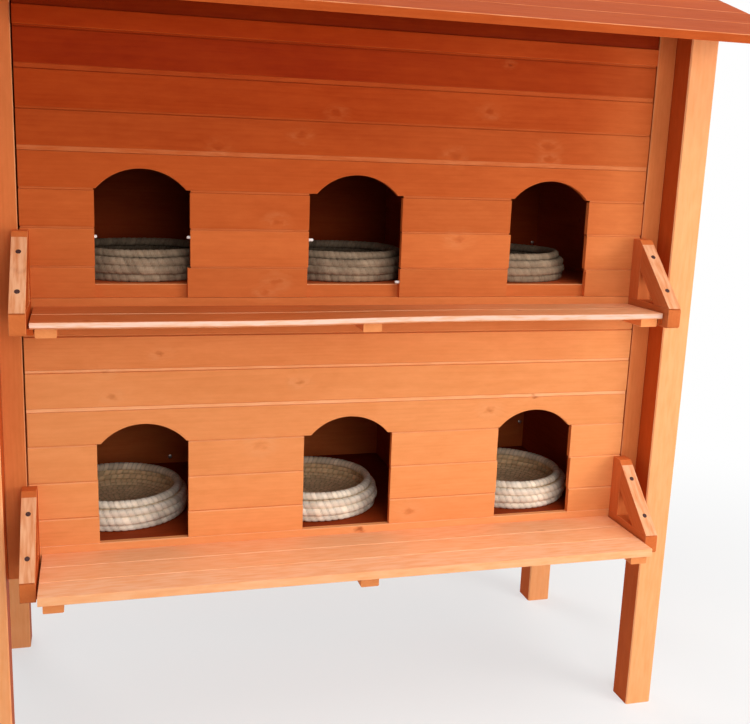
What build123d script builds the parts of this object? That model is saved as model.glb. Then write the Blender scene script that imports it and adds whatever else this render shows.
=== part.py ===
from build123d import *
import os
from math import cos, radians, sqrt, tan

os.makedirs("parts", exist_ok=True)

# A raised wooden nest house: two storeys of three arched pop holes, with a
# rest board on brackets under each row. Millimetres, +Z up, X along the front,
# the front faces -Y. The origin is on the ground under the middle of the roof.

# Layout
bays = 3
bay = 400               # from one pop hole to the next
storeys = ("lower", "upper")
storey = 471            # from one row of pop holes to the next
sill_height = 450       # ground to the bottom of the lower pop holes
box_depth = 460         # inside, from the front boards to the back boards

# Front boards
board_t = 12
end_margin = 8          # the boards run this far past the outer bays
rail_drop = 60          # bottom rail, below the lower pop holes
arch_board = 65         # height of the board that the arches are cut in
band_height = 204       # boards between the upper arch board and the top rail
top_rail = 32
top_rail_t = 16
frieze = 71             # from the top rail to the roof, at the front boards

# Pop holes
hole_width = 172
jamb = 195              # straight side, from the bottom to the arch
arch_span = 159         # the arch is a little narrower than the hole
arch_rise = 37

# Corner frame
end_gap = 3             # between the boards and the stile
stile_width = 39
stile_t = 20
post = 60
post_proud = 54         # how far the post stands in front of the boards

# Inside
floor_t = 12
divider_t = 12
lip_height = 36         # batten along the front of the upper floor
lip_t = 18
lip_step = 24           # its top above the bottom of the upper pop holes

# Rest boards: three slats below, two above
rest_drop = 15          # pop hole bottom to the rest board's top
rest_slat_lower = 62
rest_slat_upper = 70
rest_gap = 2
rest_t_lower = 16
rest_t_upper = 11
rest_short = 19         # the slats stop this far inside the front boards' end
bearer_width = 35
bearer_t = 16
bearer_short = 5        # the bearer stops this far behind the front edge
bearer_inset = 8        # from the slats' end to the outer bearers
ledger_width = 10       # strip on the bracket that carries the slats' end
ledger_t = 11
ledger_reach = 137

# Brackets
bracket_gap = 4         # between the slats' end and the bracket
bracket_t = 27
bracket_reach = 156
bracket_arm = 39
bracket_arm_drop = 1    # from the pop hole's bottom down to the arm's top
bracket_leg = 36
bracket_top = 121       # above the pop hole's bottom
bracket_flat = 26       # flat top of the bracket, out from the wall
bracket_brace = 39
bracket_nose = 6        # rounding of the arm's end
bracket_crown = 4       # rounding of the top's front corner

# Nest bowls
bowl_rim_r = 131
bowl_bulge_r = 145
bowl_foot_r = 137
bowl_height = 59
bowl_bulge_height = 27
bowl_rim_drop = 8       # the rim's side starts this far below its top
bowl_wall = 19
bowl_shifts = ((-46, -40, 9), (5, 5, -37))  # from the middle of the pop hole
bowl_set_backs = ((30, 12, 12), (12, 12, 12))  # from the front boards to the bowl

# Roof
eave_overhang = 200
gable_overhang = 80
roof_pitch = 20
roof_t = 16
ridge_reach = 70
ridge_t = 12

# Worked out from the above
wall_y = -(box_depth / 2 + board_t)         # front face of the front boards
back_y = -wall_y                            # back face of the back boards
sills = [sill_height, sill_height + storey]
hole_xs = [(i - (bays - 1) / 2) * bay for i in range(bays)]
front_end = bays * bay / 2 + end_margin     # middle to the end of the front boards
arch_radius = (arch_span**2 / 4 + arch_rise**2) / (2 * arch_rise)
stile_x = front_end + end_gap
post_x = stile_x + stile_width
side_x = post_x + post / 2
rail_bottom = sill_height - rail_drop
top_rail_bottom = sills[1] + jamb + arch_board + band_height
rest_end = front_end - rest_short
bracket_x = rest_end + bracket_gap
roof_y = back_y + eave_overhang
roof_x = post_x + post + gable_overhang
slope = tan(radians(roof_pitch))
roof_plumb = roof_t / cos(radians(roof_pitch))


def under_roof(y):
    return top_rail_bottom + top_rail + frieze + (back_y - abs(y)) * slope


def keep(piece, label):
    piece.label = label
    export_step(piece, f"parts/{label}.step")


def board(label, x0, x1, y0, y1, z0, z1):
    """A straight board between two corners."""
    with BuildPart() as piece:
        with BuildSketch(Plane.XY.offset(z0)):
            with Locations(((x0 + x1) / 2, (y0 + y1) / 2)):
                Rectangle(x1 - x0, y1 - y0)
        extrude(amount=z1 - z0)
    keep(piece.part, label)


def under_roof_board(label, x0, x1, y0, y1, z0):
    """A board or post whose top is cut to the underside of the roof."""
    with BuildPart() as piece:
        with BuildSketch(Plane.YZ.offset(x0)):
            with BuildLine():
                tops = [y0, 0, y1] if y0 < 0 < y1 else [y0, y1]
                Polyline((y1, z0), (y0, z0), *[(y, under_roof(y)) for y in tops], close=True)
            make_face()
        extrude(amount=x1 - x0)
    keep(piece.part, label)


# Corner posts, from the ground to the roof
for side, sign in (("left", -1), ("right", 1)):
    for face, ys in (("front", (wall_y - post_proud, wall_y - post_proud + post)),
                     ("back", (back_y + post_proud - post, back_y + post_proud))):
        xs = sorted((sign * post_x, sign * (post_x + post)))
        under_roof_board(f"post_{face}_{side}", *xs, *ys, 0)

# Stiles beside the front boards
for side, sign in (("left", -1), ("right", 1)):
    xs = sorted((sign * stile_x, sign * (stile_x + stile_width)))
    under_roof_board(f"stile_{side}", *xs, wall_y, wall_y + stile_t, rail_bottom)

# Front wall, from the bottom rail up
board("bottom_rail", -front_end, front_end, wall_y, wall_y + board_t, rail_bottom, sill_height)
for name, sill in zip(storeys, sills):
    spring = sill + jamb
    pier_ends = [-front_end] + [x + s * hole_width / 2 for x in hole_xs for s in (-1, 1)] + [front_end]
    with BuildPart() as piers:
        with BuildSketch(Plane.XY.offset(sill)):
            for x0, x1 in zip(pier_ends[::2], pier_ends[1::2]):
                with Locations(((x0 + x1) / 2, wall_y + board_t / 2)):
                    Rectangle(x1 - x0, board_t)
        extrude(amount=jamb)
    keep(piers.part, f"front_piers_{name}")

    with BuildPart() as arches:
        with BuildSketch(Plane.XZ.offset(-wall_y)):
            with Locations((0, spring + arch_board / 2)):
                Rectangle(2 * front_end, arch_board)
            with Locations(*[(x, spring + arch_rise - arch_radius) for x in hole_xs]):
                Circle(arch_radius, mode=Mode.SUBTRACT)
        extrude(amount=-board_t)
    keep(arches.part, f"arch_board_{name}")

    band_top = sills[1] if name == "lower" else top_rail_bottom
    board(f"front_band_{name}", -front_end, front_end, wall_y, wall_y + board_t, spring + arch_board, band_top)

board("top_rail", -front_end, front_end, wall_y + board_t - top_rail_t, wall_y + board_t,
      top_rail_bottom, top_rail_bottom + top_rail)
under_roof_board("front_frieze", -front_end, front_end, wall_y, wall_y + board_t, top_rail_bottom + top_rail)

# Back wall and gable sides
under_roof_board("back_wall", -post_x, post_x, back_y - board_t, back_y, rail_bottom)
for side, sign in (("left", -1), ("right", 1)):
    xs = sorted((sign * side_x, sign * (side_x + board_t)))
    under_roof_board(f"side_wall_{side}", *xs, wall_y - post_proud + post, back_y + post_proud - post, rail_bottom)

# Floors, the batten along the upper floor, and the dividers
inside = (wall_y + board_t, back_y - board_t)
floor_tops = [sills[0], sills[1] + lip_step]
board("floor_lower", -front_end, front_end, *inside, floor_tops[0] - floor_t, floor_tops[0])
board("floor_lip", -front_end, front_end, inside[0], inside[0] + lip_t, floor_tops[1] - lip_height, floor_tops[1])
board("floor_upper", -front_end, front_end, inside[0] + lip_t, inside[1], floor_tops[1] - floor_t, floor_tops[1])

divider_xs = [(i - bays / 2) * bay for i in range(bays + 1)]
divider_tops = [floor_tops[1] - lip_height, top_rail_bottom + top_rail]
for name, bottom, top in zip(storeys, floor_tops, divider_tops):
    with BuildPart() as dividers:
        with BuildSketch(Plane.XY.offset(bottom)):
            with Locations(*[(x, 0) for x in divider_xs]):
                Rectangle(divider_t, inside[1] - inside[0])
        extrude(amount=top - bottom)
    keep(dividers.part, f"dividers_{name}")

# Rest boards on their bearers, with a ledger on each bracket for the slats' end
slats = [("back", "middle", "front"), ("back", "front")]
slat_widths = (rest_slat_lower, rest_slat_upper)
rest_ts = (rest_t_lower, rest_t_upper)
for name, sill, rest_slat, rest_t, places in zip(storeys, sills, slat_widths, rest_ts, slats):
    rest_bottom = sill - rest_drop - rest_t
    for i, place in enumerate(places):
        slat_back = wall_y - i * (rest_slat + rest_gap)
        front_y = slat_back - rest_slat
        board(f"rest_board_{name}_{place}", -rest_end, rest_end, front_y, slat_back, rest_bottom, rest_bottom + rest_t)
    bearer_end = front_y + bearer_short
    end_x = rest_end - bearer_inset - bearer_width / 2
    with BuildPart() as bearers:
        with BuildSketch(Plane.XY.offset(rest_bottom - bearer_t)):
            with Locations(*[(x, (bearer_end + wall_y) / 2) for x in (-end_x, 0, end_x)]):
                Rectangle(bearer_width, wall_y - bearer_end)
        extrude(amount=bearer_t)
        with BuildSketch(Plane.XY.offset(rest_bottom - ledger_t)):
            ledger_x = bracket_x - ledger_width / 2
            with Locations(*[(x, wall_y - ledger_reach / 2) for x in (-ledger_x, ledger_x)]):
                Rectangle(ledger_width, ledger_reach)
        extrude(amount=ledger_t)
    keep(bearers.part, f"bearers_{name}")

# Brackets: a leg on the wall, an arm beside the rest board and a brace
brace_run = bracket_reach - bracket_flat
brace_climb = bracket_top + bracket_arm_drop
fall = brace_climb / brace_run
brace_drop = bracket_brace * sqrt(1 + fall**2)
for name, sill in zip(storeys, sills):
    arm_top = sill - bracket_arm_drop
    inner_top = arm_top + brace_climb - brace_drop - (bracket_leg - bracket_flat) * fall
    for side, sign in (("left", -1), ("right", 1)):
        x0 = min(sign * bracket_x, sign * (bracket_x + bracket_t))
        with BuildPart() as bracket:
            with BuildSketch(Plane.YZ.offset(x0)):
                with BuildLine():
                    Polyline((wall_y, arm_top - bracket_arm),
                             (wall_y - bracket_reach, arm_top - bracket_arm),
                             (wall_y - bracket_reach, arm_top),
                             (wall_y - bracket_flat, arm_top + brace_climb),
                             (wall_y, arm_top + brace_climb), close=True)
                make_face()
                with BuildLine():
                    Polyline((wall_y - bracket_leg, arm_top),
                             (wall_y - bracket_leg, inner_top),
                             (wall_y - bracket_leg - (inner_top - arm_top) / fall, arm_top), close=True)
                make_face(mode=Mode.SUBTRACT)
            extrude(amount=bracket_t)
            across = bracket.edges().filter_by(Axis.X)
            fillet(across.group_by(Axis.Y)[0], radius=bracket_nose)
            crown = bracket.edges().filter_by(Axis.X).group_by(Axis.Z)[-1].sort_by(Axis.Y)[0]
            fillet(crown, radius=bracket_crown)
        keep(bracket.part, f"bracket_{name}_{side}")

# Nest bowls
rim_base = bowl_height - bowl_rim_drop
for name, floor_top, shifts, set_backs in zip(storeys, floor_tops, bowl_shifts, bowl_set_backs):
    for place, x, shift, set_back in zip(("left", "middle", "right"), hole_xs, shifts, set_backs):
        centre = (x + shift, inside[0] + set_back + bowl_bulge_r, floor_top)
        with BuildPart() as bowl:
            with BuildSketch(Plane.XZ):
                with BuildLine():
                    Polyline((0, 0), (bowl_foot_r, 0), (bowl_bulge_r, bowl_bulge_height),
                             (bowl_rim_r, rim_base), (bowl_rim_r - bowl_wall / 2, bowl_height),
                             (bowl_rim_r - bowl_wall, rim_base),
                             (bowl_bulge_r - bowl_wall, bowl_bulge_height + bowl_wall / 4),
                             (bowl_foot_r - bowl_wall, bowl_wall), (0, bowl_wall), close=True)
                make_face()
            revolve(axis=Axis.Z)
        keep(bowl.part.moved(Location(centre)), f"nest_bowl_{name}_{place}")

# Roof
for face, sign in (("front", -1), ("back", 1)):
    with BuildPart() as panel:
        with BuildSketch(Plane.YZ.offset(-roof_x)):
            with BuildLine():
                Polyline((0, under_roof(0)), (sign * roof_y, under_roof(roof_y)),
                         (sign * roof_y, under_roof(roof_y) + roof_plumb),
                         (0, under_roof(0) + roof_plumb), close=True)
            make_face()
        extrude(amount=2 * roof_x)
    keep(panel.part, f"roof_{face}")

with BuildPart() as ridge:
    with BuildSketch(Plane.YZ.offset(-roof_x)):
        with BuildLine():
            low = under_roof(0) + roof_plumb
            lift = ridge_t / cos(radians(roof_pitch))
            edge = low - ridge_reach * slope
            Polyline((-ridge_reach, edge), (0, low), (ridge_reach, edge),
                     (ridge_reach, edge + lift), (0, low + lift), (-ridge_reach, edge + lift), close=True)
        make_face()
    extrude(amount=2 * roof_x)
keep(ridge.part, "ridge_cap")
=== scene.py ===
from collections import namedtuple
import math
import random

import bpy
import bmesh
from mathutils import Matrix, Vector


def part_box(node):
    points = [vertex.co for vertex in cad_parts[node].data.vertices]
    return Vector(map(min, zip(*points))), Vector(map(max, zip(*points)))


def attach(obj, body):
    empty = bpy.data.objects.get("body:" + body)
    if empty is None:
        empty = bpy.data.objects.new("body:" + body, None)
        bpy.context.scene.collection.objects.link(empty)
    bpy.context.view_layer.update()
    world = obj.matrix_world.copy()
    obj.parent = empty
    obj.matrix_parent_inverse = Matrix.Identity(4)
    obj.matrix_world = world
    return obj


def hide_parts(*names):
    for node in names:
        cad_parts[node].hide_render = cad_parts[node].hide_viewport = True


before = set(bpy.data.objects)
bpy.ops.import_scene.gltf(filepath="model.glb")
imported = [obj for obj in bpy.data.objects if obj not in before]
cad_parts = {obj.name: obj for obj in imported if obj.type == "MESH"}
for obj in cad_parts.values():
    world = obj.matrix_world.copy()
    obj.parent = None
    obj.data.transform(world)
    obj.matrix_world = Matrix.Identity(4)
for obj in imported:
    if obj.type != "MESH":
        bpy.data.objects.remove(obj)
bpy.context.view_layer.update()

# Main sizes of the nest house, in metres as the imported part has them
MM = 0.001
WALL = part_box("arch_board_lower")[0].y      # the front of the boards
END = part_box("arch_board_lower")[1].x       # the boards' right end
BOARD = 0.012           # thickness of the boards
STOREYS = ("lower", "upper")
PLACES = ("left", "middle", "right")
SILLS = {"lower": 0.450, "upper": 0.921}    # the holes' bottoms
HOLES = (-0.4, 0.0, 0.4)    # the holes' middles
HOLE = 0.172            # width of a hole
JAMB = 0.195            # straight side of a hole, up to the arch
ARCH = 0.065            # height of the board that the arches are cut in
ARCH_SPAN = 0.159
ARCH_RISE = 0.037
BACK_INSIDE = -WALL - BOARD
PITCH = math.radians(20)
SLOPE = math.tan(PITCH)
RAIL_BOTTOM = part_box("bottom_rail")[0].z
FRIEZE_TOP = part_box("front_frieze")[1].z - BOARD * SLOPE
X, Y, Z = Vector((1, 0, 0)), Vector((0, 1, 0)), Vector((0, 0, 1))
rng = random.Random(7)


def under_roof(y):
    """The height of the roof's underside."""
    return FRIEZE_TOP + (-WALL - abs(y)) * SLOPE


def smooth(t):
    """A soft step from 0 to 1."""
    t = max(0.0, min(1.0, t))
    return t * t * (3 - 2 * t)


# Node trees
class Net:
    """The node tree of a material or the world, with short calls for the nodes that repeat."""

    def __init__(self, owner):
        self.owner = owner
        owner.use_nodes = True
        self.tree = owner.node_tree
        self.tree.nodes.clear()

    def add(self, kind, values=(), **props):
        made = self.tree.nodes.new(kind)
        for key, value in props.items():
            setattr(made, key, value)
        pairs = values.items() if isinstance(values, dict) else enumerate(values)
        for key, value in pairs:
            if isinstance(value, bpy.types.NodeSocket):
                self.tree.links.new(value, made.inputs[key])
            else:
                made.inputs[key].default_value = value
        return made

    def math(self, operation, *values, clamp=False):
        return self.add("ShaderNodeMath", values, operation=operation, use_clamp=clamp).outputs[0]

    def ramp(self, value, low, high, to_low=0.0, to_high=1.0, soft=False):
        kind = "SMOOTHSTEP" if soft else "LINEAR"
        values = (value, low, high, to_low, to_high)
        return self.add("ShaderNodeMapRange", values, interpolation_type=kind).outputs[0]

    def mix(self, factor, a, b):
        return self.add("ShaderNodeMix", {0: factor, 6: a, 7: b}, data_type="RGBA").outputs[2]

    def vector(self, operation, a, b):
        return self.add("ShaderNodeVectorMath", (a, b), operation=operation).outputs[0]

    def scaled(self, vector, by):
        return self.vector("MULTIPLY", vector, by)

    def apart(self, vector, place):
        return self.add("ShaderNodeVectorMath", (vector, place), operation="DISTANCE").outputs["Value"]

    def brightened(self, colour, level):
        return self.add("ShaderNodeVectorMath", {0: colour, "Scale": level}, operation="SCALE").outputs[0]

    def noise(self, vector, stretch, detail=2.0, rough=0.5, output="Fac"):
        values = {"Vector": self.scaled(vector, stretch), "Scale": 1.0, "Detail": detail, "Roughness": rough}
        return self.add("ShaderNodeTexNoise", values).outputs[output]

    def split(self, vector):
        return self.add("ShaderNodeSeparateXYZ", (vector,)).outputs

    def joined(self, x, y, z):
        return self.add("ShaderNodeCombineXYZ", (x, y, z)).outputs[0]

    def attribute(self, name):
        return self.add("ShaderNodeAttribute", attribute_name=name).outputs["Vector"]

    def spot(self):
        return self.add("ShaderNodeTexCoord").outputs["Object"]

    def bump(self, strength, distance, height):
        values = {"Strength": strength, "Distance": distance, "Height": height}
        return self.add("ShaderNodeBump", values).outputs[0]

    def principled(self, **values):
        named = {key.replace("_", " ").title().replace("Ior", "IOR"): value for key, value in values.items()}
        return self.add("ShaderNodeBsdfPrincipled", named).outputs[0]

    def output(self, shader, kind="ShaderNodeOutputMaterial"):
        self.add(kind, (shader,))
        return self.owner


def rgb(r, g, b):
    """A colour as it shows on a screen, 0 to 255, as the linear colour of a shader."""
    def linear(c):
        c /= 255
        return c / 12.92 if c <= 0.04045 else ((c + 0.055) / 1.055) ** 2.4
    return (linear(r), linear(g), linear(b), 1.0)


def shown(r, g, b):
    """A colour as it shows, kept that way for mixing; a gamma node makes it linear after."""
    return (r / 255, g / 255, b / 255, 1.0)


# Stained fir
RING = 0.0064           # growth rings apart
KNOT_SHAPE = (0.66, 0.12, 1.0)      # knots are wider than they are high
KNOT_CELL = 0.2         # strewn knots lie this far apart, where there are any
KNOT_BROWN = shown(128, 52, 24)

# Knots that show on the front, in millimetres: across, up, size, how dark
KNOTS = [
    (190, 1194, 8, 0.25), (257, 1281, 7, 0.35), (386, 1220, 8, 0.25), (388, 1194, 7, 0.2),
    (208, 1036, 9, 0.2), (-156, 950, 8, 0.1), (-154, 1063, 8, 0.15), (-46, 1267, 7, 0.2),
    (-112, 1223, 7, 0.2), (-261, 1196, 7, 0.2), (-370, 816, 7, 0.3), (-470, 784, 6, 0.3),
    (-104, 755, 7, 0.2), (-457, 736, 7, 0.2), (-180, 630, 10, 0.1), (396, 709, 6, 0.5),
    (297, 685, 8, 0.25), (134, 474, 9, 0.2), (-175, 931, 7, 0.1), (291, 1371, 4, 0.9),
    (26, 441, 8, 0.6),
]


def placed_knots(n, spot, blur, knots):
    """How far a point lies from the nearest of the knots, in sizes of that knot, and how dark it is there."""
    flat = n.vector("ADD", n.scaled(spot, KNOT_SHAPE), blur)
    away, dark = 9.0, 0.0
    for x, z, size, depth in knots:
        place = (x * MM * KNOT_SHAPE[0], WALL * KNOT_SHAPE[1], z * MM)
        one = n.math("DIVIDE", n.apart(flat, place), size * MM)
        away = n.math("MINIMUM", away, one)
        dark = n.math("MAXIMUM", dark, n.ramp(one, 1.5, 0.0, 0.0, depth))
    return away, dark


def strewn_knots(n, grain, blur):
    """The same for small knots strewn over the boards by their grain, in about one cell of three."""
    along, across, _ = n.split(grain)
    flat = n.vector("ADD", n.scaled(n.joined(along, across, 0.0), (0.7, 1.0, 1.0)), blur)
    cell = n.add("ShaderNodeTexVoronoi", {"Vector": flat, "Scale": 1 / KNOT_CELL}, voronoi_dimensions="2D")
    pick, big, _ = n.split(cell.outputs["Color"])
    away = n.math("MULTIPLY", cell.outputs["Distance"], KNOT_CELL)
    away = n.math("DIVIDE", away, n.ramp(big, 0.0, 1.0, 0.004, 0.008))
    away = n.math("ADD", away, n.ramp(pick, 0.30, 0.31, 0.0, 9.0))
    return away, n.math("MULTIPLY", n.ramp(away, 1.5, 0.0), 0.4)


def late_wood(n, grain, swell):
    """The dark outer part of each growth ring. The rings sway, and bend round what swells."""
    _, across, out = n.split(grain)
    sway = n.math("SUBTRACT", n.noise(grain, (2.4, 12.0, 12.0)), 0.5)
    across = n.math("ADD", across, n.math("MULTIPLY", sway, 0.022))
    radius = n.math("ADD", n.math("MULTIPLY", across, across), n.math("MULTIPLY", out, out))
    radius = n.math("ADD", n.math("SQRT", radius), n.math("MULTIPLY", swell, 0.012))
    ring = n.math("FRACT", n.math("DIVIDE", radius, RING))
    late = n.math("MULTIPLY", n.math("POWER", ring, 2.0), n.ramp(ring, 1.0, 0.86))
    plain = n.ramp(n.noise(grain, (4.0, 22.0, 22.0)), 0.35, 0.65, 0.3, 1.0)
    return n.math("MULTIPLY", late, n.math("MAXIMUM", plain, swell))


def lit_towards_right(n, spot, fade_and_shade):
    """The front is painted paler towards its right end: painted light from the right."""
    side = n.split(spot)[0]
    fade_and_shade = n.math("ADD", fade_and_shade, n.ramp(side, -0.1, 0.3, 0.0, 0.09, soft=True))
    return n.math("ADD", fade_and_shade, n.ramp(side, 0.42, 0.58, 0.0, 0.18, soft=True))


def fir(name, pale, deep, bare, faded_and_lit=None, rough=0.55, axis=None, knots=()):
    """Stained fir. Its pieces carry grain, each board's own coordinates (along, across, out), and look,
    its tone, bareness and fading, which also carry painted light and shade in places. A solid without them
    has its grain along an axis. knots are placed ones."""
    n = Net(bpy.data.materials.new(name))
    spot = n.spot()
    if axis:
        part = n.split(spot)
        order = {"x": (0, 2, 1), "y": (1, 2, 0)}[axis]
        grain = n.joined(*(part[i] for i in order))
        tone, worn_and_lit, fade_and_shade = 0.0, 0.0, 0.0
    else:
        grain = n.attribute("grain")
        tone, worn_and_lit, fade_and_shade = n.split(n.attribute("look"))
    # Painted light: the front gets paler towards its right end
    if knots:
        fade_and_shade = lit_towards_right(n, spot, fade_and_shade)

    # The knots, uneven in outline. away is the distance from one, in its own sizes
    blur = n.vector("SUBTRACT", n.noise(grain, (60.0, 90.0, 90.0), output="Color"), (0.5, 0.5, 0.5))
    blur = n.scaled(blur, (0.016, 0.016, 0.016))
    away, dark = placed_knots(n, spot, blur, knots) if knots else strewn_knots(n, grain, blur)
    swell = n.ramp(away, 4.0, 0.0, soft=True)
    knot = n.ramp(away, 1.2, 0.3, soft=True)
    halo = n.math("MULTIPLY", n.ramp(away, 3.2, 1.2, soft=True), n.ramp(away, 0.6, 1.3, soft=True))

    # The stain lies unevenly over the grain, pale round knots and dark in them, and is bare where it has worn
    # off and where painted highlights and painted light lie
    late = late_wood(n, grain, swell)
    streak = n.noise(grain, (7.0, 230.0, 230.0), 3.0, 0.6)
    blotch = n.noise(grain, (4.0, 15.0, 15.0), 3.0, 0.6)
    mottle = n.noise(grain, (24.0, 75.0, 75.0), 3.0, 0.65)
    shade = n.math("MULTIPLY", late, 0.24)
    for pattern, depth in ((blotch, 0.36), (mottle, 0.32), (streak, 0.15)):
        shade = n.math("ADD", shade, n.ramp(pattern, 0.3, 0.7, 0.0, depth), clamp=True)
    colour = n.mix(shade, pale, deep)
    # Towards the pale colours by fading, and by painted light and shade, mostly by height
    if faded_and_lit:
        colour = n.mix(fade_and_shade, colour, n.mix(shade, *faded_and_lit))
    colour = n.mix(n.math("MULTIPLY", halo, n.ramp(mottle, 0.42, 0.60, 0.02, 0.13)), colour, bare)
    colour = n.mix(n.math("MULTIPLY", knot, dark), colour, KNOT_BROWN)
    # Bare where it has worn, and paler under painted light and highlights
    scuffed = n.ramp(n.noise(grain, (22.0, 160.0, 160.0), 3.0), 0.30, 0.62, 0.45, 1.0)
    colour = n.mix(n.math("MULTIPLY", worn_and_lit, scuffed), colour, bare)
    colour = n.add("ShaderNodeGamma", (colour, 2.2)).outputs[0]
    colour = n.brightened(colour, n.math("ADD", 1.0, n.math("MULTIPLY", tone, 0.10)))

    relief = n.math("ADD", n.math("MULTIPLY", late, -0.5), n.math("MULTIPLY", streak, 0.6))
    relief = n.math("ADD", relief, n.math("MULTIPLY", knot, 0.6))
    gloss = n.ramp(streak, 0.2, 0.8, rough - 0.05, rough + 0.08)
    return n.output(n.principled(base_color=colour, roughness=gloss, specular_ior_level=0.05,
                                 normal=n.bump(0.2, 0.6 * MM, relief)))


STAIN_COLOURS = dict(pale=shown(164, 57, 14), deep=shown(138, 38, 5), bare=shown(250, 198, 158),
                     faded_and_lit=(shown(243, 158, 100), shown(224, 138, 80)))
FRONT = fir("stained_fir_front", knots=KNOTS, **STAIN_COLOURS)
STAIN = fir("stained_fir", **STAIN_COLOURS)
RAW = fir("raw_fir", **{**STAIN_COLOURS, "bare": shown(252, 204, 180)})


# Pieces
def scene_object(name, mesh, nodes, place=(0, 0, 0), turn=0.0):
    """A piece of the scene that rides on the house and stands for some CAD nodes, if any."""
    made = bpy.data.objects.new(name, mesh)
    bpy.context.scene.collection.objects.link(made)
    made.location = place
    made.rotation_euler = (0, 0, turn)
    bpy.context.view_layer.update()
    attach(made, "root")
    if nodes:
        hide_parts(*nodes)


def cleaned(mesh, merge=0.0):
    """Turns a mesh's faces outward, after joining the points that lie together."""
    bm = bmesh.new()
    bm.from_mesh(mesh)
    if merge:
        bmesh.ops.remove_doubles(bm, verts=bm.verts, dist=merge)
    bmesh.ops.recalc_face_normals(bm, faces=bm.faces)
    bm.to_mesh(mesh)
    bm.free()
    mesh.update()


class Wood:
    """Boards gathered into one piece of the scene."""

    def __init__(self):
        self.points, self.faces, self.corners, self.slots = [], [], [], []

    def face(self, points, grains, looks, slot=0):
        start = len(self.points)
        self.points += points
        self.faces.append(list(range(start, start + len(points))))
        self.corners += list(zip(grains, looks))
        self.slots.append(slot)

    def piece(self, name, node, *mats):
        mesh = bpy.data.meshes.new(name)
        mesh.from_pydata([tuple(p) for p in self.points], [], self.faces)
        for i, key in enumerate(("grain", "look")):
            layer = mesh.attributes.new(key, "FLOAT_VECTOR", "CORNER")
            layer.data.foreach_set("vector", [c for pair in self.corners for c in pair[i]])
        for mat in mats or (STAIN,):
            mesh.materials.append(mat)
        mesh.polygons.foreach_set("material_index", self.slots)
        cleaned(mesh, merge=0.002 * MM)
        scene_object(name, mesh, [node])


def own_grain(width):
    """A board's place in its log: where along it starts, and how far to the side and behind the heart is."""
    return Vector((rng.uniform(0, 40), -rng.uniform(-0.6, 1.6) * width, -rng.uniform(0.012, 0.07)))


def section_of(width, thick, low, top, back):
    """A board's section (across, out), with chamfered front edges, and how bare each side of it is."""
    points = [(0, -thick + back), (0, -low), (low, 0),
              (width - top, 0), (width, -top), (width, -thick + back)]
    bare = [0, 1, 0, 1, 0]
    if back:
        points += [(width - back, -thick), (back, -thick)]
        bare += [1, 0, 1]
    else:
        bare += [0]
    return points, bare


def plank(wood, origin, along, across, length, width, thick, low=1.2, top=1.2, back=0.0, tone=None, fade_and_shade=0.0,
          wear_and_highlight=0.5, worn_and_lit=0.0, steps=1, bend=None, cut=None, shade=None, front=None, paint=None, ends=None):
    """A board with its chamfers, in mm. bend(point) moves a point, cut(across, out) gives the far end's place
    and shade(point) its fading and bareness. ends, paint, by a side's number, and front(point) give a tone,
    bareness and fading. All of these also stand for painted light and shade in places. front is for the side
    at across 0 and its chamfer, in the piece's second material."""
    origin = Vector(origin)
    out = along.cross(across)
    points, bare = section_of(width, thick, low * MM, top * MM, back * MM)
    if front:
        points.insert(1, (0, -0.7 * thick))
        bare.insert(1, 0)
    tone = rng.uniform(-1, 1) if tone is None else tone
    log = own_grain(width)

    def spot(a, v, w):
        at = origin + along * a + across * v + out * w
        return at + bend(at) if bend else at

    rows = [[((cut(v, w) if cut else length) * i / steps, v, w) for v, w in points] for i in range(steps + 1)]
    for row, following in zip(rows, rows[1:]):
        for j in range(len(points)):
            k = (j + 1) % len(points)
            quad = (row[j], row[k], following[k], following[j])
            at = [spot(*q) for q in quad]
            in_front = bool(front) and j < 3
            if paint and j in paint:
                looks = [paint[j]] * 4
            elif in_front:
                looks = [front(p) for p in at]
            elif shade:
                looks = [(tone, max(shade(p)[1], bare[j] * wear_and_highlight), shade(p)[0]) for p in at]
            else:
                looks = [(tone, max(worn_and_lit, bare[j] * wear_and_highlight), fade_and_shade)] * 4
            wood.face(at, [Vector(q) + log for q in quad], looks, int(in_front))
    for row in (rows[0], rows[-1]):
        sawn = [Vector((a * 0.1, v, w)) + log + Vector((3, 0, 0)) for a, v, w in row]
        at = [spot(*q) for q in row]
        wood.face(at, sawn, [ends or (tone - 0.3, 0.0, shade(p)[0] if shade else fade_and_shade) for p in at])


def inset(outline, widths):
    """The outline moved in by each side's own width."""
    count = len(outline)
    lines = []
    for i in range(count):
        (x0, y0), (x1, y1) = outline[i], outline[(i + 1) % count]
        dx, dy = x1 - x0, y1 - y0
        size = math.hypot(dx, dy)
        lines.append((x0 - dy / size * widths[i], y0 + dx / size * widths[i], dx / size, dy / size))
    moved = []
    for i in range(count):
        ax, ay, adx, ady = lines[i - 1]
        bx, by, bdx, bdy = lines[i]
        cross = adx * bdy - ady * bdx
        if abs(cross) < 1e-6:
            moved.append((bx, by))
        else:
            t = ((bx - ax) * bdy - (by - ay) * bdx) / cross
            moved.append((ax + adx * t, ay + ady * t))
    return moved


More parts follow.
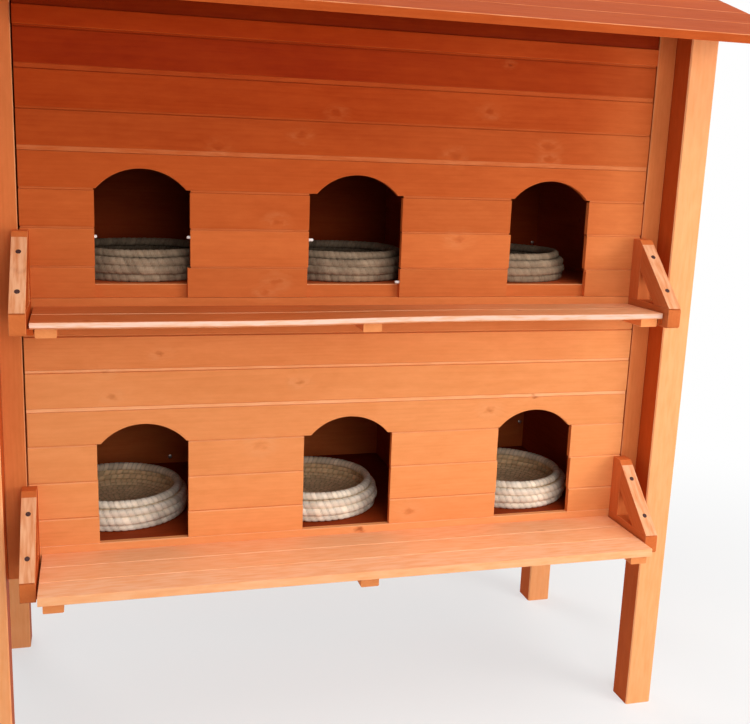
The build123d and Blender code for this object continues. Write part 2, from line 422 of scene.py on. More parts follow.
def slab(wood, origin, along, across, outline, thick, chamfer=0.8, wide=None, tone=None, fade_and_shade=0.0, wear_and_highlight=0.5):
    """A board of any outline, counter-clockwise in (along, across). Chamfers are in mm, and wide gives those
    of some sides by number."""
    origin = Vector(origin)
    out = along.cross(across)
    widths = [(wide or {}).get(i, chamfer) * MM for i in range(len(outline))]
    edge = -min(widths)
    front = inset(outline, widths)
    tone = rng.uniform(-1, 1) if tone is None else tone
    log = own_grain(max(p[1] for p in outline) - min(p[1] for p in outline))

    def put(points, bare):
        wood.face([origin + along * a + across * v + out * w for a, v, w in points],
                  [Vector(q) + log for q in points], [(tone, bare * wear_and_highlight, fade_and_shade)] * len(points))

    put([(*p, 0.0) for p in front], 0)
    put([(*p, -thick) for p in reversed(outline)], 0)
    for i in range(len(outline)):
        k = (i + 1) % len(outline)
        put([(*front[i], 0.0), (*front[k], 0.0), (*outline[k], edge), (*outline[i], edge)], 1)
        put([(*outline[i], edge), (*outline[k], edge), (*outline[k], -thick), (*outline[i], -thick)], 0)


def clipped(outline, keep):
    """The part of an outline where keep(point) is at least zero."""
    kept = []
    for i, p in enumerate(outline):
        q = outline[(i + 1) % len(outline)]
        a, b = keep(p), keep(q)
        if a >= 0:
            kept.append(p)
        if (a >= 0) != (b >= 0):
            t = a / (a - b)
            kept.append((p[0] + (q[0] - p[0]) * t, p[1] + (q[1] - p[1]) * t))
    return kept


def area(outline):
    """An outline's area, below zero where it runs clockwise."""
    return sum(a[0] * b[1] - b[0] * a[1] for a, b in zip(outline, outline[1:] + outline[:1])) / 2


# Joints of the front boards by height, in millimetres: the height as it looks, how much of the tongue shows
# above it, how far the gap reaches down from it and up above the tongue, the chamfer below it and how pale
# the tongue is. The lowest one is the sill of the lower holes.
Joint = namedtuple("Joint", "looks shows down up chamfer pale")
JOINTS = {
    450: Joint(450, 0, 0, 0, 0, 0),
    503.4: Joint(503.4, 0, 0.2, 0.8, 3.2, 0),
    574: Joint(574, 0, 0.2, 0.8, 2.8, 0),
    645: Joint(645, 0, 0.2, 0.9, 2.4, 0),
    710: Joint(710, 6.5, 0.2, 1.0, 1.0, 0.45),
    783.6: Joint(783.6, 4.6, 0.8, 0.8, 1.0, 0.35),
    849.8: Joint(851.5, 1.0, 2.2, 0, 0.8, 0.1),
    921: Joint(921, 0, 0.4, 0, 0.6, 0),
    978: Joint(976.5, 2.0, 0.8, 0, 1.2, 0.15),
    1047.4: Joint(1046, 2.4, 0.8, 0, 1.4, 0.15),
    1116: Joint(1113.5, 3.0, 1.0, 0, 0.8, 0.12),
    1181: Joint(1179, 8.0, 0.6, 0, 0.8, 0.2),
    1250.5: Joint(1249, 2.4, 1.6, 0, 0.6, 0.05),
    1318.7: Joint(1315.5, 7.5, 1.4, 0, 0.6, 0.08),
    1385: Joint(1383, 2.4, 2.2, 0, 0.6, 0.05),
}
OPEN_JOINTS = (849.8, 1181, 1250.5, 1318.7, 1385)
COURSES = {"lower": [450, 503.4, 574, 645], "upper": [921, 978, 1047.4, 1116]}
BANDS = {"lower": [710, 783.6, 849.8, 921], "upper": [1181, 1250.5, 1318.7, 1385]}
BOARD_TONES = {1318.7: -1.0, 1250.5: 0.3, 978: 0.3, 849.8: -0.4, 783.6: -0.3, 710: -0.5, 645: -0.5, 574: -0.3}

# How far each hole's left and right sides stand out (+) or in (-) of a hole 172 wide, course by course from
# the bottom, in millimetres
JOGS = {
    ("lower", 0): ((-2, -1, 0), (-4, -3.5, -3.5)),
    ("lower", 1): ((6, 6.5, 7), (3, 2.5, 2)),
    ("lower", 2): ((-7, -7.5, -5), (6, 4, 0.5)),
    ("upper", 0): ((-3, -3.5, -4), (-4.5, 0.5, 0)),
    ("upper", 1): ((8.5, 7, 7), (4, 4.5, 4)),
    ("upper", 2): ((-2, -3.5, -1), (4, 0, -1)),
}

# How pale the boards are, by height in metres: fading of the stain, with painted light from the ground
# low down and painted shade under the roof high up
FADE_AND_SHADE_BY_HEIGHT = [(0.45, 1.0), (0.75, 0.94), (0.82, 0.80), (0.95, 0.52), (1.01, 0.50), (1.08, 0.38), (1.35, 0.06)]


def fade_and_shade_at(z):
    """Paler low down from fading and painted light, darker at the top from painted shade under the roof."""
    for (z0, f0), (z1, f1) in zip(FADE_AND_SHADE_BY_HEIGHT, FADE_AND_SHADE_BY_HEIGHT[1:]):
        if z <= z1:
            return f0 + (f1 - f0) * max(0.0, (z - z0) / (z1 - z0))
    return 0.0


def joint(wood, x0, x1, z):
    """What shows in a joint: the groove's bottom, dark in open ones, and the tongue of the upper board."""
    deep, tone = (0.0027, -1.0) if z in OPEN_JOINTS else (0.0021, -0.4)
    tongue_depth = 0.0016
    fade_and_shade = fade_and_shade_at(z * MM)
    at = JOINTS[z]
    hidden = 3      # how far the strip reaches behind both boards
    bottom = at.looks - at.down - hidden
    height = at.shows + at.down + at.up + 2 * hidden
    plank(wood, (x0, WALL + deep, bottom * MM), X, Z, x1 - x0, height * MM, 0.004,
          low=0, top=0, tone=tone, wear_and_highlight=0, fade_and_shade=fade_and_shade * 0.8)
    if at.shows:
        plank(wood, (x0, WALL + tongue_depth, at.looks * MM), X, Z, x1 - x0, at.shows * MM, 0.005,
              low=0.3, top=0, tone=0.4, wear_and_highlight=at.pale, worn_and_lit=at.pale, fade_and_shade=fade_and_shade)


def edges(z0, z1):
    """A board's low and high edge between two joints, in millimetres."""
    below, above = JOINTS[z0], JOINTS[z1]
    return below.looks + below.shows + below.up, above.looks - above.down


def front_board(wood, x0, x1, z0, z1, wear_and_highlight=0.12, ends=None):
    """A stretch of one board of the front, between two joints."""
    low, high = edges(z0, z1)
    plank(wood, (x0, WALL, low * MM), X, Z, x1 - x0, (high - low) * MM, BOARD, low=0.8,
          top=JOINTS[z1].chamfer, wear_and_highlight=wear_and_highlight, fade_and_shade=fade_and_shade_at((z0 + z1) / 2 * MM), ends=ends,
          tone=BOARD_TONES.get(z0, 0.0) + rng.uniform(-0.3, 0.3))


def beside_holes(name, row):
    """The ends of each stretch of board beside the holes, in one course of a storey."""
    xs = [-END]
    for h, x in enumerate(HOLES):
        left, right = JOGS[name, h]
        xs += [x - HOLE / 2 - left[row] * MM, x + HOLE / 2 + right[row] * MM]
    xs.append(END)
    return list(zip(xs[::2], xs[1::2]))


def piers(name):
    """The boards between the holes of a storey."""
    made = Wood()
    zs = COURSES[name]
    for row, (z0, z1) in enumerate(zip(zs, zs[1:])):
        for x0, x1 in beside_holes(name, row):
            # Painted highlight: the lower storey's chamfers are painted paler than the upper storey's
            # Painted light: the boards' cut ends at the holes' sides are painted brighter
            front_board(made, x0, x1, z0, z1, wear_and_highlight=0.3 if name == "lower" else 0.12, ends=(3.0, 0.0, 0.5))
            if row:
                joint(made, x0 + MM, x1 - MM, z0)
    made.piece(f"piers_{name}", f"front_piers_{name}", FRONT)


def arches(name):
    """The board of a storey that the arches are cut in."""
    made = Wood()
    spring = SILLS[name] + JAMB
    z0, z1 = COURSES[name][-1], BANDS[name][0]
    foot, head = (v * MM - spring for v in edges(z0, z1))
    radius = (ARCH_SPAN**2 / 4 + ARCH_RISE**2) / (2 * ARCH_RISE)
    half = math.acos((radius - ARCH_RISE + foot) / radius)
    steps = 24
    outline = [(-END, foot)]
    for x in HOLES:
        for i in range(steps + 1):
            a = -half + 2 * half * i / steps
            outline.append((x + radius * math.sin(a), ARCH_RISE - radius + radius * math.cos(a)))
    outline += [(END, foot), (END, head), (-END, head)]
    top_side = len(outline) - 2
    slab(made, (0, WALL, spring), X, Z, outline, BOARD, wear_and_highlight=0.15, wide={top_side: JOINTS[z1].chamfer},
         fade_and_shade=fade_and_shade_at(spring + ARCH / 2), tone=BOARD_TONES.get(z0, 0.2))
    for x0, x1 in beside_holes(name, -1):
        joint(made, x0 + MM, x1 - MM, z0)
    made.piece(f"arches_{name}", f"arch_board_{name}", FRONT)


def band(name):
    """The boards above the arches of a storey."""
    made = Wood()
    zs = BANDS[name]
    for z0, z1 in zip(zs, zs[1:]):
        front_board(made, -END, END, z0, z1)
        joint(made, -END, END, z0)
    if name == "upper":
        joint(made, -END, END, zs[-1])
    made.piece(f"band_{name}", f"front_band_{name}", FRONT)


def rails():
    """The bottom rail, the top rail and the frieze above it up to the roof, painted dark as painted shade."""
    rail = Wood()
    plank(rail, (-END, WALL, RAIL_BOTTOM), X, Z, 2 * END, SILLS["lower"] - RAIL_BOTTOM, BOARD, tone=0.0,
          fade_and_shade=1.0, worn_and_lit=0.1)
    rail.piece("rail_bottom", "bottom_rail", FRONT)
    cap = Wood()
    low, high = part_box("top_rail")
    bottom = low.z + 0.4 * MM
    plank(cap, (-END, low.y, bottom), X, Z, 2 * END, high.z - bottom, high.y - low.y, top=1.0,
          tone=0.8, wear_and_highlight=0.1, fade_and_shade=0.06)
    cap.piece("rail_top", "top_rail", FRONT)
    frieze = Wood()
    low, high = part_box("front_frieze")
    # Painted shade: the frieze is painted dark
    plank(frieze, (-END, WALL, low.z), X, Z, 2 * END, FRIEZE_TOP - low.z, BOARD, low=1.0, top=0.5,
          tone=-2.5, wear_and_highlight=0.1)
    frieze.piece("frieze", "front_frieze")


def front_wall():
    """The front, from the sill of each storey up, and its rails."""
    for name in STOREYS:
        piers(name)
        arches(name)
        band(name)
    rails()


# Corner frame
def upright(name, node, chamfer, fade_and_shade, front_rubbed_and_lit):
    """A post or stile with all its long edges eased and its top cut to the roof. The posts' fronts are
    painted paler as painted light, and the side towards the middle of the house darker as painted shade."""
    low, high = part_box(node)
    front_side, inward_side = 2, 4 if low.x > 0 else 0

    def top(v, w):
        return under_roof(low.y - w) - low.z - 0.5 * MM

    made = Wood()
    # Painted light on the front and painted shade on the side towards the middle
    plank(made, (high.x, low.y, low.z), Z, -X, high.z - low.z, high.x - low.x, high.y - low.y,
          low=chamfer, top=chamfer, back=chamfer, fade_and_shade=fade_and_shade, wear_and_highlight=0.35, cut=top, tone=0.3,
          paint={front_side: (0.3, front_rubbed_and_lit, fade_and_shade), inward_side: (1.0, 0.0, 0.36)})
    made.piece(name, node)


def corner_frame():
    """The stiles at the boards' ends, and the four posts."""
    for side in ("left", "right"):
        upright(f"side_stile_{side}", f"stile_{side}", 1.5, 0.68, 0.0)
        for face in ("front", "back"):
            upright(f"corner_{face}_{side}", f"post_{face}_{side}", 2.5, 1.0, 0.25)


# Rest boards on their bearers
UPPER_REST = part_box("rest_board_upper_front")
UPPER_REACH = 0.142
BEARER = 0.035
BEARER_T = 0.016
BEARER_INSET = 0.008    # from the boards' end to the outer bearers
LEDGER = 0.010
LEDGER_T = 0.011
LEDGER_REACH = 0.137
LEDGER_IN = 0.583       # where the ledgers start, out from the middle


def warped(at):
    """The upper pair's front droops to the left and lifts to the right."""
    reach = max(0.0, (WALL - at.y) / UPPER_REACH)
    lift = -4.4 + 6.0 * smooth((at.x + 0.25) / 0.45) + 1.2 * smooth((at.x - 0.48) / 0.12)
    return Z * (lift * MM * reach)


def trodden_and_lit_right(at):
    """The fading and bareness of the upper boards: rubbed a little, and painted paler towards the right as
    painted light.
    """
    t = smooth((at.x + 0.15) / 0.65)
    return 0.48 + 0.34 * t, 0.12 + 0.34 * t + 0.2 * smooth((at.x - 0.4) / 0.15)


def raw(at):
    """The upper front edge is bare wood, coloured like the stain along its lower side at the left."""
    low, high = UPPER_REST
    up = (at.z - warped(at).z - low.z) / (high.z - low.z)
    right = smooth((at.x + 0.2) / 0.6)
    tone = -0.8 - 1.4 * right
    if up < 0.2:
        return tone, 0.6 * right, 0.35 + 0.55 * right
    return tone, 0.5 if up > 0.98 else 1.2, 1.0


def slat(name, place):
    """One board of a rest. The lower ones are straight and rubbed pale more evenly."""
    node = f"rest_board_{name}_{place}"
    low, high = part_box(node)
    tone = rng.uniform(-1, 1)
    if name == "upper":
        edge, edge_wood = raw, RAW
        looks = dict(tone=tone, bend=warped, shade=trodden_and_lit_right)
    else:
        edge, edge_wood = lambda at: (0.0, 0.55, 1.0), STAIN
        wear_and_highlight = 0.78 if place == "front" else 0.58
        looks = dict(tone=0.4 + tone * 0.2, shade=lambda at: (1.0, wear_and_highlight))
    if place == "front":
        looks["front"] = edge
    made = Wood()
    plank(made, (low.x, low.y, high.z), X, Y, high.x - low.x, high.y - low.y, high.z - low.z,
          low=1.0, top=1.4, back=1.0, wear_and_highlight=0.8, steps=32, ends=(0.5, 0.9, 1.0), **looks)
    made.piece(f"slat_{name}_{place}", node, STAIN, edge_wood)


def bearer_set(name):
    """Three bearers below a storey's rest boards, and a ledger on each bracket."""
    bend = warped if name == "upper" else None
    low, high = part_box(f"bearers_{name}")
    made = Wood()
    outer = UPPER_REST[1].x - BEARER_INSET - BEARER / 2
    for x in (-outer, 0.0, outer):
        plank(made, (x + BEARER / 2, low.y, high.z), Y, -X, high.y - low.y, BEARER, BEARER_T,
              low=1.5, top=1.5, back=1.5, fade_and_shade=0.9, wear_and_highlight=0.4, steps=6, bend=bend)
    for x in (-LEDGER_IN, LEDGER_IN + LEDGER):
        plank(made, (x, WALL - LEDGER_REACH, high.z), Y, -X, LEDGER_REACH, LEDGER, LEDGER_T,
              low=1.0, top=1.0, back=1.0, fade_and_shade=0.3, steps=6, bend=bend)
    made.piece(f"bearer_set_{name}", f"bearers_{name}")


def rest_boards():
    for name, places in (("lower", ("back", "middle", "front")), ("upper", ("back", "front"))):
        for place in places:
            slat(name, place)
        bearer_set(name)


# Brackets: arm, leg and brace, each with its own grain. Outlines are (out from the wall, up from the sill)
REACH = 0.156
ARM_TOP = -0.001
ARM_BOTTOM = -0.040
LEG = 0.036
CROWN = (0.026, 0.121)  # where the leg's flat top ends and the slope starts
BRACE = 0.0526          # the brace's height, straight down
BRACE_SCREWS = (0.060, 0.123)
FALL = (CROWN[1] - ARM_TOP) / (REACH - CROWN[0])


def brace_top(out):
    """The height of the brace's upper edge, to a tenth of a millimetre."""
    return round(CROWN[1] - (out - CROWN[0]) * FALL, 4)


def rounded(points, radii):
    """The outline with some corners rounded."""
    steps = 5
    made = []
    for i, p in enumerate(points):
        r = radii.get(i, 0.0)
        if not r:
            made.append(p)
            continue
        p, a, b = Vector(p), Vector(points[i - 1]), Vector(points[(i + 1) % len(points)])
        u, v = (a - p).normalized(), (b - p).normalized()
        angle = u.angle(v)
        reach = r / math.tan(angle / 2)
        centre = p + (u + v).normalized() * (r / math.sin(angle / 2))
        start, end = p + u * reach - centre, p + v * reach - centre
        for j in range(steps + 1):
            t = j / steps
            d = (start * (1 - t) + end * t).normalized() * r
            made.append(tuple(centre + d))
    return made


def block(wood, origin, outline, thick, turn):
    """A block cut from a board thick along X, with the grain turned by an angle in its outline."""
    origin = Vector(origin)
    chamfer = 0.5 * MM
    if area(outline) < 0:
        outline = outline[::-1]
    ring = inset(outline, [chamfer] * len(outline))
    log = own_grain(0.05)
    tone = rng.uniform(-0.6, 0.6)
    cos, sin = math.cos(turn), math.sin(turn)

    def grain(p, x):
        return Vector((p[0] * cos + p[1] * sin, -p[0] * sin + p[1] * cos, x)) + log

    def put(points, bare, fade_and_shade=0.55):
        wood.face([origin + Vector((x, -p[0], p[1])) for p, x in points], [grain(*q) for q in points],
                  [(tone, bare, fade_and_shade)] * len(points))

    put([(p, 0.0) for p in ring], 0.15, 0.6)
    put([(p, thick) for p in reversed(ring)], 0, 0.3)
    for i in range(len(outline)):
        k = (i + 1) % len(outline)
        a, b, ra, rb = outline[i], outline[k], ring[i], ring[k]
        put([(ra, 0.0), (rb, 0.0), (b, chamfer), (a, chamfer)], 0.3)
        # The upper side of a brace rises towards the wall, and is painted pale as a painted highlight
        sloping = b[0] < a[0] - 0.02 and b[1] > a[1] + 0.02
        put([(a, chamfer), (b, chamfer), (b, thick - chamfer), (a, thick - chamfer)], 0.7 if sloping else 0)
        put([(a, thick - chamfer), (b, thick - chamfer), (rb, thick), (ra, thick)], 0.3)


def stud_finish(name, colour, rough, metallic):
    """The dull, uneven surface of screws and pegs."""
    n = Net(bpy.data.materials.new(name))
    dull = n.noise(n.spot(), (900.0, 900.0, 900.0), 3.0, 0.6)
    tint = n.mix(n.ramp(dull, 0.35, 0.7), colour, tuple(c * 0.55 for c in colour[:3]) + (1.0,))
    return n.output(n.principled(base_color=tint, roughness=n.ramp(dull, 0.3, 0.7, rough, rough + 0.2),
                                 metallic=metallic))


def studs(name, places, profile, mat, around=12):
    """Small round parts, each given by its centre and the way it points. profile is (radius, out), in mm."""
    points, faces = [], []
    for centre, axis in places:
        axis = Vector(axis).normalized()
        side = axis.orthogonal().normalized()
        other = axis.cross(side)
        start = len(points)
        for radius, out in profile:
            for j in range(around):
                a = 2 * math.pi * j / around
                spoke = (side * math.cos(a) + other * math.sin(a)) * radius * MM
                points.append(tuple(Vector(centre) + axis * out * MM + spoke))
        for i in range(len(profile) - 1):
            row = start + i * around
            for j in range(around):
                k = (j + 1) % around
                faces.append((row + j, row + k, row + around + k, row + around + j))
        faces.append(tuple(start + (len(profile) - 1) * around + j for j in range(around)))
    mesh = bpy.data.meshes.new(name)
    mesh.from_pydata(points, [], faces)
    mesh.materials.append(mat)
    mesh.polygons.foreach_set("use_smooth", [True] * len(faces))
    cleaned(mesh)
    scene_object(name, mesh, [])


def brackets():
    """The four brackets, with two screws in each brace."""
    arm = [(REACH, ARM_BOTTOM), (REACH, ARM_TOP), (0, ARM_TOP), (0, ARM_BOTTOM)]
    arm = rounded(arm, {0: 0.006, 1: 0.006})
    leg = [(0, ARM_TOP), (LEG, ARM_TOP), (LEG, brace_top(LEG)), CROWN, (0, CROWN[1])]
    leg = rounded(leg, {3: 0.004})
    inner_top = brace_top(LEG) - BRACE
    inner_foot = round(LEG + (inner_top - ARM_TOP) / FALL, 4)
    brace = [(LEG, inner_top), (inner_foot, ARM_TOP), (REACH, ARM_TOP), (LEG, brace_top(LEG))]
    screws = []
    for name in STOREYS:
        for side in ("left", "right"):
            node = f"bracket_{name}_{side}"
            low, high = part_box(node)
            thick = high.x - low.x
            made = Wood()
            for outline, turn in ((arm, 0.0), (leg, math.pi / 2), (brace, -math.atan(FALL))):
                block(made, (low.x, WALL, SILLS[name]), outline, thick, turn)
            made.piece(f"bracket_set_{name}_{side}", node)
            for out in BRACE_SCREWS:
                place = (low.x + thick * 0.48, WALL - out, SILLS[name] + brace_top(out))
                screws.append((place, (0, -FALL, 1)))
    studs("brace_screws", screws, [(4.6, -1.0), (4.6, 0.4), (4.0, 0.7), (1.6, 0.3), (0.4, 0.2)],
          stud_finish("dark_screws", rgb(70, 30, 22), 0.5, 0.3), around=16)


# Back, sides and roof, with the courses of the front
WALL_COURSES = ([round(RAIL_BOTTOM / MM)] + COURSES["lower"] + BANDS["lower"] + COURSES["upper"][1:]
                + BANDS["upper"] + [1452, 1520, 1590])


def back_wall():
    """The boards of the back. Inside, the upper storey's are painted darker as painted shade and the lower
    storey's brighter as painted light.
    """
    low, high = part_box("back_wall")
    inner_side = 5
    made = Wood()
    for z0, z1 in zip(WALL_COURSES, WALL_COURSES[1:]):
        top = min(z1 * MM, under_roof(high.y))
        if top - z0 * MM > 4 * MM:
            # Painted shade inside the upper storey, painted light inside the lower one
            inside = (2.5, 0.0, 0.52) if z0 < 900 else (-1.5, 0.0, 0.16)
            plank(made, (high.x, high.y, z0 * MM), -X, Z, high.x - low.x, top - z0 * MM, BOARD, top=2.2,
                  fade_and_shade=fade_and_shade_at((z0 + z1) / 2 * MM), paint={inner_side: inside})
            groove_bottom = (high.x, high.y - 0.005, z0 * MM - 0.005)
            plank(made, groove_bottom, -X, Z, high.x - low.x, 0.010, 0.004, low=0, top=0, tone=-2, wear_and_highlight=0)
    made.piece("back_boards", "back_wall")


def side_wall(side, s):
    """The boards of a gable side, cut to both slopes of the roof. s is -1 at the left and 1 at the right."""
    low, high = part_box(f"side_wall_{side}")
    face = high.x if s > 0 else low.x
    made = Wood()
    for z0, z1 in zip(WALL_COURSES, WALL_COURSES[1:]):
        outline = [(low.y, z0 * MM), (high.y, z0 * MM), (high.y, z1 * MM), (low.y, z1 * MM)]
        for t in (-1, 1):
            outline = clipped(outline, lambda p: FRIEZE_TOP + (-WALL + t * p[0]) * SLOPE - p[1])
        if len(outline) < 3 or abs(area(outline)) < 1e-4:
            continue
        if s < 0:
            outline = [(-a, v) for a, v in outline][::-1]
        slab(made, (face, 0, 0), Y * s, Z, outline, BOARD, chamfer=1.5, fade_and_shade=fade_and_shade_at((z0 + z1) / 2 * MM))
    made.piece(f"side_boards_{side}", f"side_wall_{side}")


def roof(face, s):
    """One side of the roof, in boards along it. s is -1 at the front and 1 at the back."""
    low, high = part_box(f"roof_{face}")
    run = max(abs(low.y), abs(high.y))
    thick, count = 0.016, 5
    eave = FRIEZE_TOP + (-WALL - run) * SLOPE + thick / math.cos(PITCH)
    across = Vector((0, -s * math.cos(PITCH), math.sin(PITCH)))
    start = Vector((low.x if s < 0 else high.x, s * run, eave))
    width = run / math.cos(PITCH) / count
    made = Wood()
    for i in range(count):
        plank(made, start + across * (width * i), X * -s, across, high.x - low.x, width, thick,
              top=1.8, fade_and_shade=0.3)
    made.piece(f"roof_boards_{face}", f"roof_{face}")


# Solids that stay, each with its grain's axis and a wood of its own
INNER_WOOD = shown(196, 90, 50), shown(166, 68, 34)
SOLID_WOODS = {
    # The lower floor is painted darker: painted shade inside the lower boxes
    "floor_lower": ("x", shown(150, 62, 28), shown(124, 46, 18)),
    "floor_upper": ("x", *INNER_WOOD),
    "dividers_lower": ("y", *INNER_WOOD),
    "dividers_upper": ("y", *INNER_WOOD),
    "ridge_cap": ("x", shown(206, 98, 46), shown(184, 76, 30)),
}


def solids_that_stay():
    """Gives the solids that show as they are their wood."""
    for node, (axis, pale, deep) in SOLID_WOODS.items():
        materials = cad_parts[node].data.materials
        materials.clear()
        materials.append(fir(f"wood_{node}", pale, deep, shown(236, 160, 100), rough=0.6, axis=axis))


def lip_batten():
    """The batten along the front of the upper floor."""
    low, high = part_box("floor_lip")
    made = Wood()
    plank(made, (low.x, low.y, low.z), X, Z, high.x - low.x, high.z - low.z, high.y - low.y, low=1, top=1.5,
          tone=0, fade_and_shade=0.56)
    made.piece("lip_batten", "floor_lip")


def pegs():
    """Pale pegs in the sides of some holes, and the bright ends of screws on the inside of the back."""
    y = WALL + 0.005
    places = [((-0.4870, y, 1.0313), X), ((-0.3110, y, 1.0317), -X), ((-0.0925, y, 1.0300), X),
              ((0.0900, y, 0.9500), -X)]
    studs("pale_pegs", places, [(2.9, -2.0), (2.9, 7.2), (2.3, 8.6), (1.0, 9.1)],
          stud_finish("pale_pins", rgb(250, 244, 238), 0.4, 0.0))
    y = BACK_INSIDE + 0.5 * MM
    places = [((0.5826, y, 0.9870), -Y), ((0.5832, y, 0.5174), -Y), ((-0.3191, y, 0.4656), -Y)]
    studs("back_screws", places, [(5.0, -1.0), (5.0, 1.6), (3.6, 2.6), (1.3, 3.0)],
          stud_finish("screw_tips", rgb(240, 232, 226), 0.25, 1.0))


# Nest bowls of coiled straw rope. The coils of the base lie inside the bowl, and four more make its side
Coil = namedtuple("Coil", "radius height thick inside")
BASE_RADII = [0.006 + 0.0128 * i for i in range(10)]
COILS = [Coil(r, 0.0076 + 0.007 * (r / 0.125) ** 5, 0.0074, 1.0) for r in BASE_RADII]
COILS += [Coil(0.1320, 0.0086, 0.0084, 0.0), Coil(0.1362, 0.0225, 0.0086, 0.0),
          Coil(0.1335, 0.0368, 0.0086, 0.0), Coil(0.1226, 0.0505, 0.0083, 0.0)]
STITCH_SHADE = rgb(70, 48, 30)
FIBRE_HIGHLIGHT = rgb(244, 232, 212)


def straw(name, pale, deep, inside_pale, inside_deep):
    """Straw rope. look holds how far inside the bowl a point is, how deep between stitches, and a tint.
    The creases between stitches get painted shade, and the fibres painted highlights.
    """
    n = Net(bpy.data.materials.new(name))
    inside, dip, tint = n.split(n.attribute("look"))
    grain = n.attribute("grain")
    fibre = n.noise(grain, (700.0, 120.0, 120.0), 3.0, 0.6)
    patch = n.ramp(n.noise(grain, (30.0, 30.0, 30.0), 3.0, 0.6), 0.3, 0.7)
    colour = n.mix(inside, n.mix(patch, pale, deep), n.mix(patch, inside_pale, inside_deep))
    # Painted shade in the creases between stitches
    colour = n.mix(n.math("MULTIPLY", dip, 0.75), colour, n.mix(0.7, colour, STITCH_SHADE))
    # Painted highlights along the fibres
    colour = n.mix(n.ramp(fibre, 0.35, 0.75, 0.0, 0.3), colour, n.mix(0.5, colour, FIBRE_HIGHLIGHT))
    colour = n.brightened(colour, n.math("ADD", 0.82, n.math("MULTIPLY", tint, 0.34)))
    return n.output(n.principled(base_color=colour, roughness=0.9, specular_ior_level=0.1,
                                 normal=n.bump(0.6, MM, fibre)))


def coil_ring(coil, number, pick):
    """One coil as a closed ring of stitched rope: rows of points, each with its grain and look."""
    around, per_stitch = 12, 6
    rim, inside = number == len(COILS) - 1, coil.inside > 0
    wide = 0.0105 if rim else 0.0120 if inside else 0.0140
    stitches = max(6, round(2 * math.pi * coil.radius / wide))
    phase, slant = pick.random(), pick.uniform(0.15, 0.4)
    tints = [pick.uniform(0.4, 0.7) if inside else pick.random() for _ in range(stitches + 1)]
    depths = [pick.uniform(0.5, 1.0) for _ in range(stitches + 1)]
    swells = [pick.uniform(-0.04, 0.02) for _ in range(stitches + 1)]
    square = 2.2 if rim or inside else 3.0
    rows = []
    for i in range(stitches * per_stitch):
        t = i / (stitches * per_stitch)
        angle = 2 * math.pi * t
        dr = 0.5 * MM * math.sin(angle * 2 + number * 1.7)
        dz = 0.5 * MM * math.sin(angle * 3 + number * 2.3)
        row = []
        for j in range(around):
            b = 2 * math.pi * j / around
            s = t * stitches + phase + slant * math.sin(b)
            part, own = s % 1.0, int(s) % stitches
            dip = max(0.0, 1 - min(part, 1 - part) / 0.17) * depths[own]
            full = (abs(math.cos(b)) ** square + abs(math.sin(b)) ** square) ** (-1 / square)
            tube = coil.thick * full * (1.0 + swells[own] - 0.20 * dip)
            r = coil.radius + dr + tube * math.cos(b)
            z = max(0.3 * MM, coil.height + dz + tube * math.sin(b))
            inward = max(0.0, min(1.0, 0.2 - math.cos(b) * 1.4)) * (0.4 if rim else 1.0)
            row.append(((r * math.cos(angle), r * math.sin(angle), z),
                        (coil.radius * angle, b * 0.008, number * 0.1),
                        (coil.inside or inward, dip, tints[own])))
        rows.append(row)
    return rows


def bowl_mesh(seed):
    """A bowl of stitched coils around the origin, a different one for each seed."""
    points, faces, grains, looks = [], [], [], []
    pick = random.Random(seed)
    for number, coil in enumerate(COILS):
        rows = coil_ring(coil, number, pick)
        start, around = len(points), len(rows[0])
        for row in rows:
            for point, grain, look in row:
                points.append(point)
                grains += grain
                looks += look
        for i in range(len(rows)):
            here, following = start + i * around, start + (i + 1) % len(rows) * around
            for j in range(around):
                k = (j + 1) % around
                faces.append((here + j, following + j, following + k, here + k))
    mesh = bpy.data.meshes.new(f"nest_bowl_{seed}")
    mesh.from_pydata(points, [], faces)
    mesh.attributes.new("grain", "FLOAT_VECTOR", "POINT").data.foreach_set("vector", grains)
    mesh.attributes.new("look", "FLOAT_VECTOR", "POINT").data.foreach_set("vector", looks)
    mesh.polygons.foreach_set("use_smooth", [True] * len(faces))
    mesh.update()
    return mesh


def bowls(name, seed, mat):
    """The three bowls of a storey, which share a mesh and are turned at random."""
    shared = bowl_mesh(seed)
    shared.materials.append(mat)
    for place in PLACES:
        node = f"nest_bowl_{name}_{place}"
        low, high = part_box(node)
        middle = ((low.x + high.x) / 2, (low.y + high.y) / 2, low.z)
        scene_object(f"bowl_{name}_{place}", shared, [node], middle, rng.uniform(0, 6))


# Floor, light and camera
def seen_white(n):
    """One for the rays that see the plain white background: the camera's, and those in metal and glass."""
    path = n.add("ShaderNodeLightPath").outputs
    rays = n.math("ADD", path["Is Camera Ray"], path["Is Glossy Ray"])
    return n.math("ADD", rays, path["Is Transmission Ray"], clamp=True)


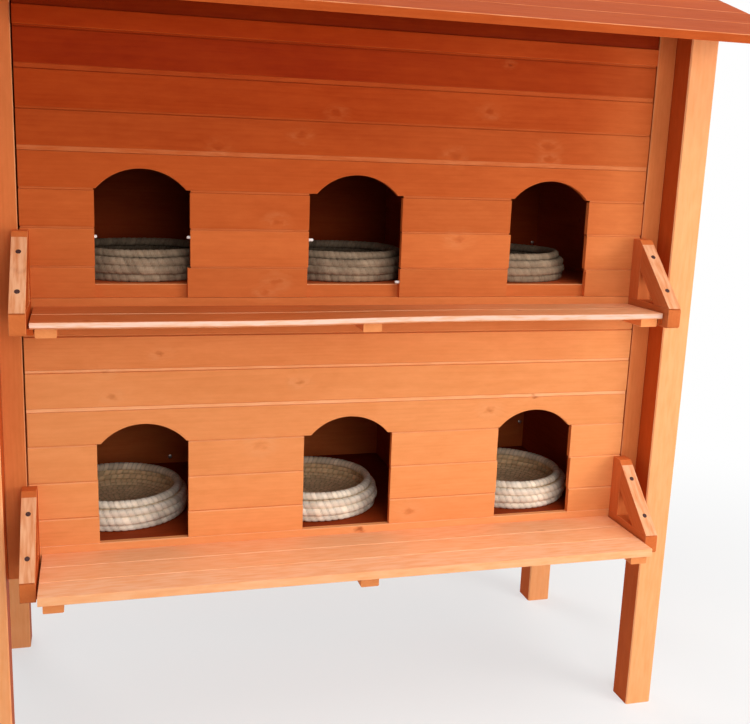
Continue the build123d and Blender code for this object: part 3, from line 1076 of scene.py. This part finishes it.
def stage():
    """A pale floor that turns to plain white away from the house, but keeps its shadow."""
    n = Net(bpy.data.materials.new("studio_floor"))
    spot = n.spot()
    soft = n.ramp(n.noise(spot, (0.8, 0.8, 0.8)), 0.3, 0.7)
    pale = n.principled(base_color=n.mix(soft, (0.80, 0.80, 0.79, 1), (0.83, 0.83, 0.82, 1)), roughness=0.8)
    far = n.apart(n.scaled(spot, (0.8, 1.0, 0.0)), (0.0, -0.1, 0.0))
    far = n.math("MULTIPLY", seen_white(n), n.ramp(far, 0.7, 2.2, 0.55, 1.0, soft=True))
    glow = n.add("ShaderNodeEmission", ((1, 1, 1, 1), 1.0)).outputs[0]
    reach = 12
    corners = [(x * reach, y * reach, 0) for x, y in ((-1, -1), (1, -1), (1, 1), (-1, 1))]
    mesh = bpy.data.meshes.new("studio_floor")
    mesh.from_pydata(corners, [], [(0, 1, 2, 3)])
    mesh.materials.append(n.output(n.add("ShaderNodeMixShader", (far, pale, glow)).outputs[0]))
    floor = bpy.data.objects.new("studio_floor", mesh)
    bpy.context.scene.collection.objects.link(floor)


def sky():
    """A dim sky that lights the house, and plain white behind it."""
    world = bpy.data.worlds.new("studio")
    bpy.context.scene.world = world
    n = Net(world)
    light = n.add("ShaderNodeBackground", ((0.95, 0.97, 1.0, 1), 0.36)).outputs[0]
    white = n.add("ShaderNodeBackground", ((1, 1, 1, 1), 1.0)).outputs[0]
    n.output(n.add("ShaderNodeMixShader", (seen_white(n), light, white)).outputs[0], "ShaderNodeOutputWorld")


def lamp(name, place, aim, size, power, colour=(1, 1, 1)):
    """A round soft lamp that doesn't show."""
    data = bpy.data.lights.new(name, "AREA")
    data.shape = "DISK"
    data.size = size
    data.energy = power
    data.color = colour
    o = bpy.data.objects.new(name, data)
    o.location = place
    o.visible_camera = False
    o.rotation_mode = "QUATERNION"
    o.rotation_quaternion = (Vector(aim) - Vector(place)).to_track_quat("-Z", "Y")
    bpy.context.scene.collection.objects.link(o)


def lamps():
    lamp("key", (2.4, -2.2, 1.1), (0.1, -0.25, 0.65), 1.8, 47, (1.0, 0.98, 0.95))
    lamp("overhead", (0.9, -1.9, 4.2), (0, -0.3, 0.6), 3.0, 80)
    lamp("fill", (0.0, -3.0, 1.5), (0, -0.2, 0.7), 1.2, 18)
    lamp("behind", (-1.5, 3.6, 2.2), (0, 0.2, 0.7), 2.4, 60)


def camera():
    """The photograph's own view: its place, turn and lens."""
    photo_width, focal_pixels, sensor = 750, 991.8, 36
    place = (-0.4829, WALL - 1.8405, 1.2044)
    yaw, pitch, roll = (math.radians(a) for a in (16.035, 12.162, -2.238))
    ahead = Vector((math.sin(yaw) * math.cos(pitch), math.cos(yaw) * math.cos(pitch), -math.sin(pitch)))
    right = Vector((math.cos(yaw), -math.sin(yaw), 0))
    down = ahead.cross(right)
    across = right * math.cos(roll) + down * math.sin(roll)
    below = down * math.cos(roll) - right * math.sin(roll)
    data = bpy.data.cameras.new("camera")
    data.sensor_fit = "HORIZONTAL"
    data.sensor_width = sensor
    data.lens = focal_pixels * sensor / photo_width
    o = bpy.data.objects.new("camera", data)
    turn = Matrix((across, -below, -ahead)).transposed()
    o.matrix_world = Matrix.Translation(place) @ turn.to_4x4()
    bpy.context.scene.collection.objects.link(o)
    bpy.context.scene.camera = o


# The house, from the front to the bowls, and what lights and shows it
front_wall()
corner_frame()
rest_boards()
brackets()
back_wall()
side_wall("left", -1)
side_wall("right", 1)
roof("front", -1)
roof("back", 1)
solids_that_stay()
lip_batten()
pegs()
bowls("lower", 3, straw("woven_straw", rgb(250, 238, 220), rgb(226, 208, 182), rgb(248, 214, 166),
                        rgb(220, 184, 138)))
# Painted shade: the upper bowls get a darker copy of the same straw
bowls("upper", 5, straw("woven_straw_shaded", rgb(154, 131, 105), rgb(126, 101, 77), rgb(106, 85, 62),
                        rgb(80, 61, 44)))
stage()
sky()
lamps()
camera()
bpy.context.scene.view_settings.view_transform = "Standard"
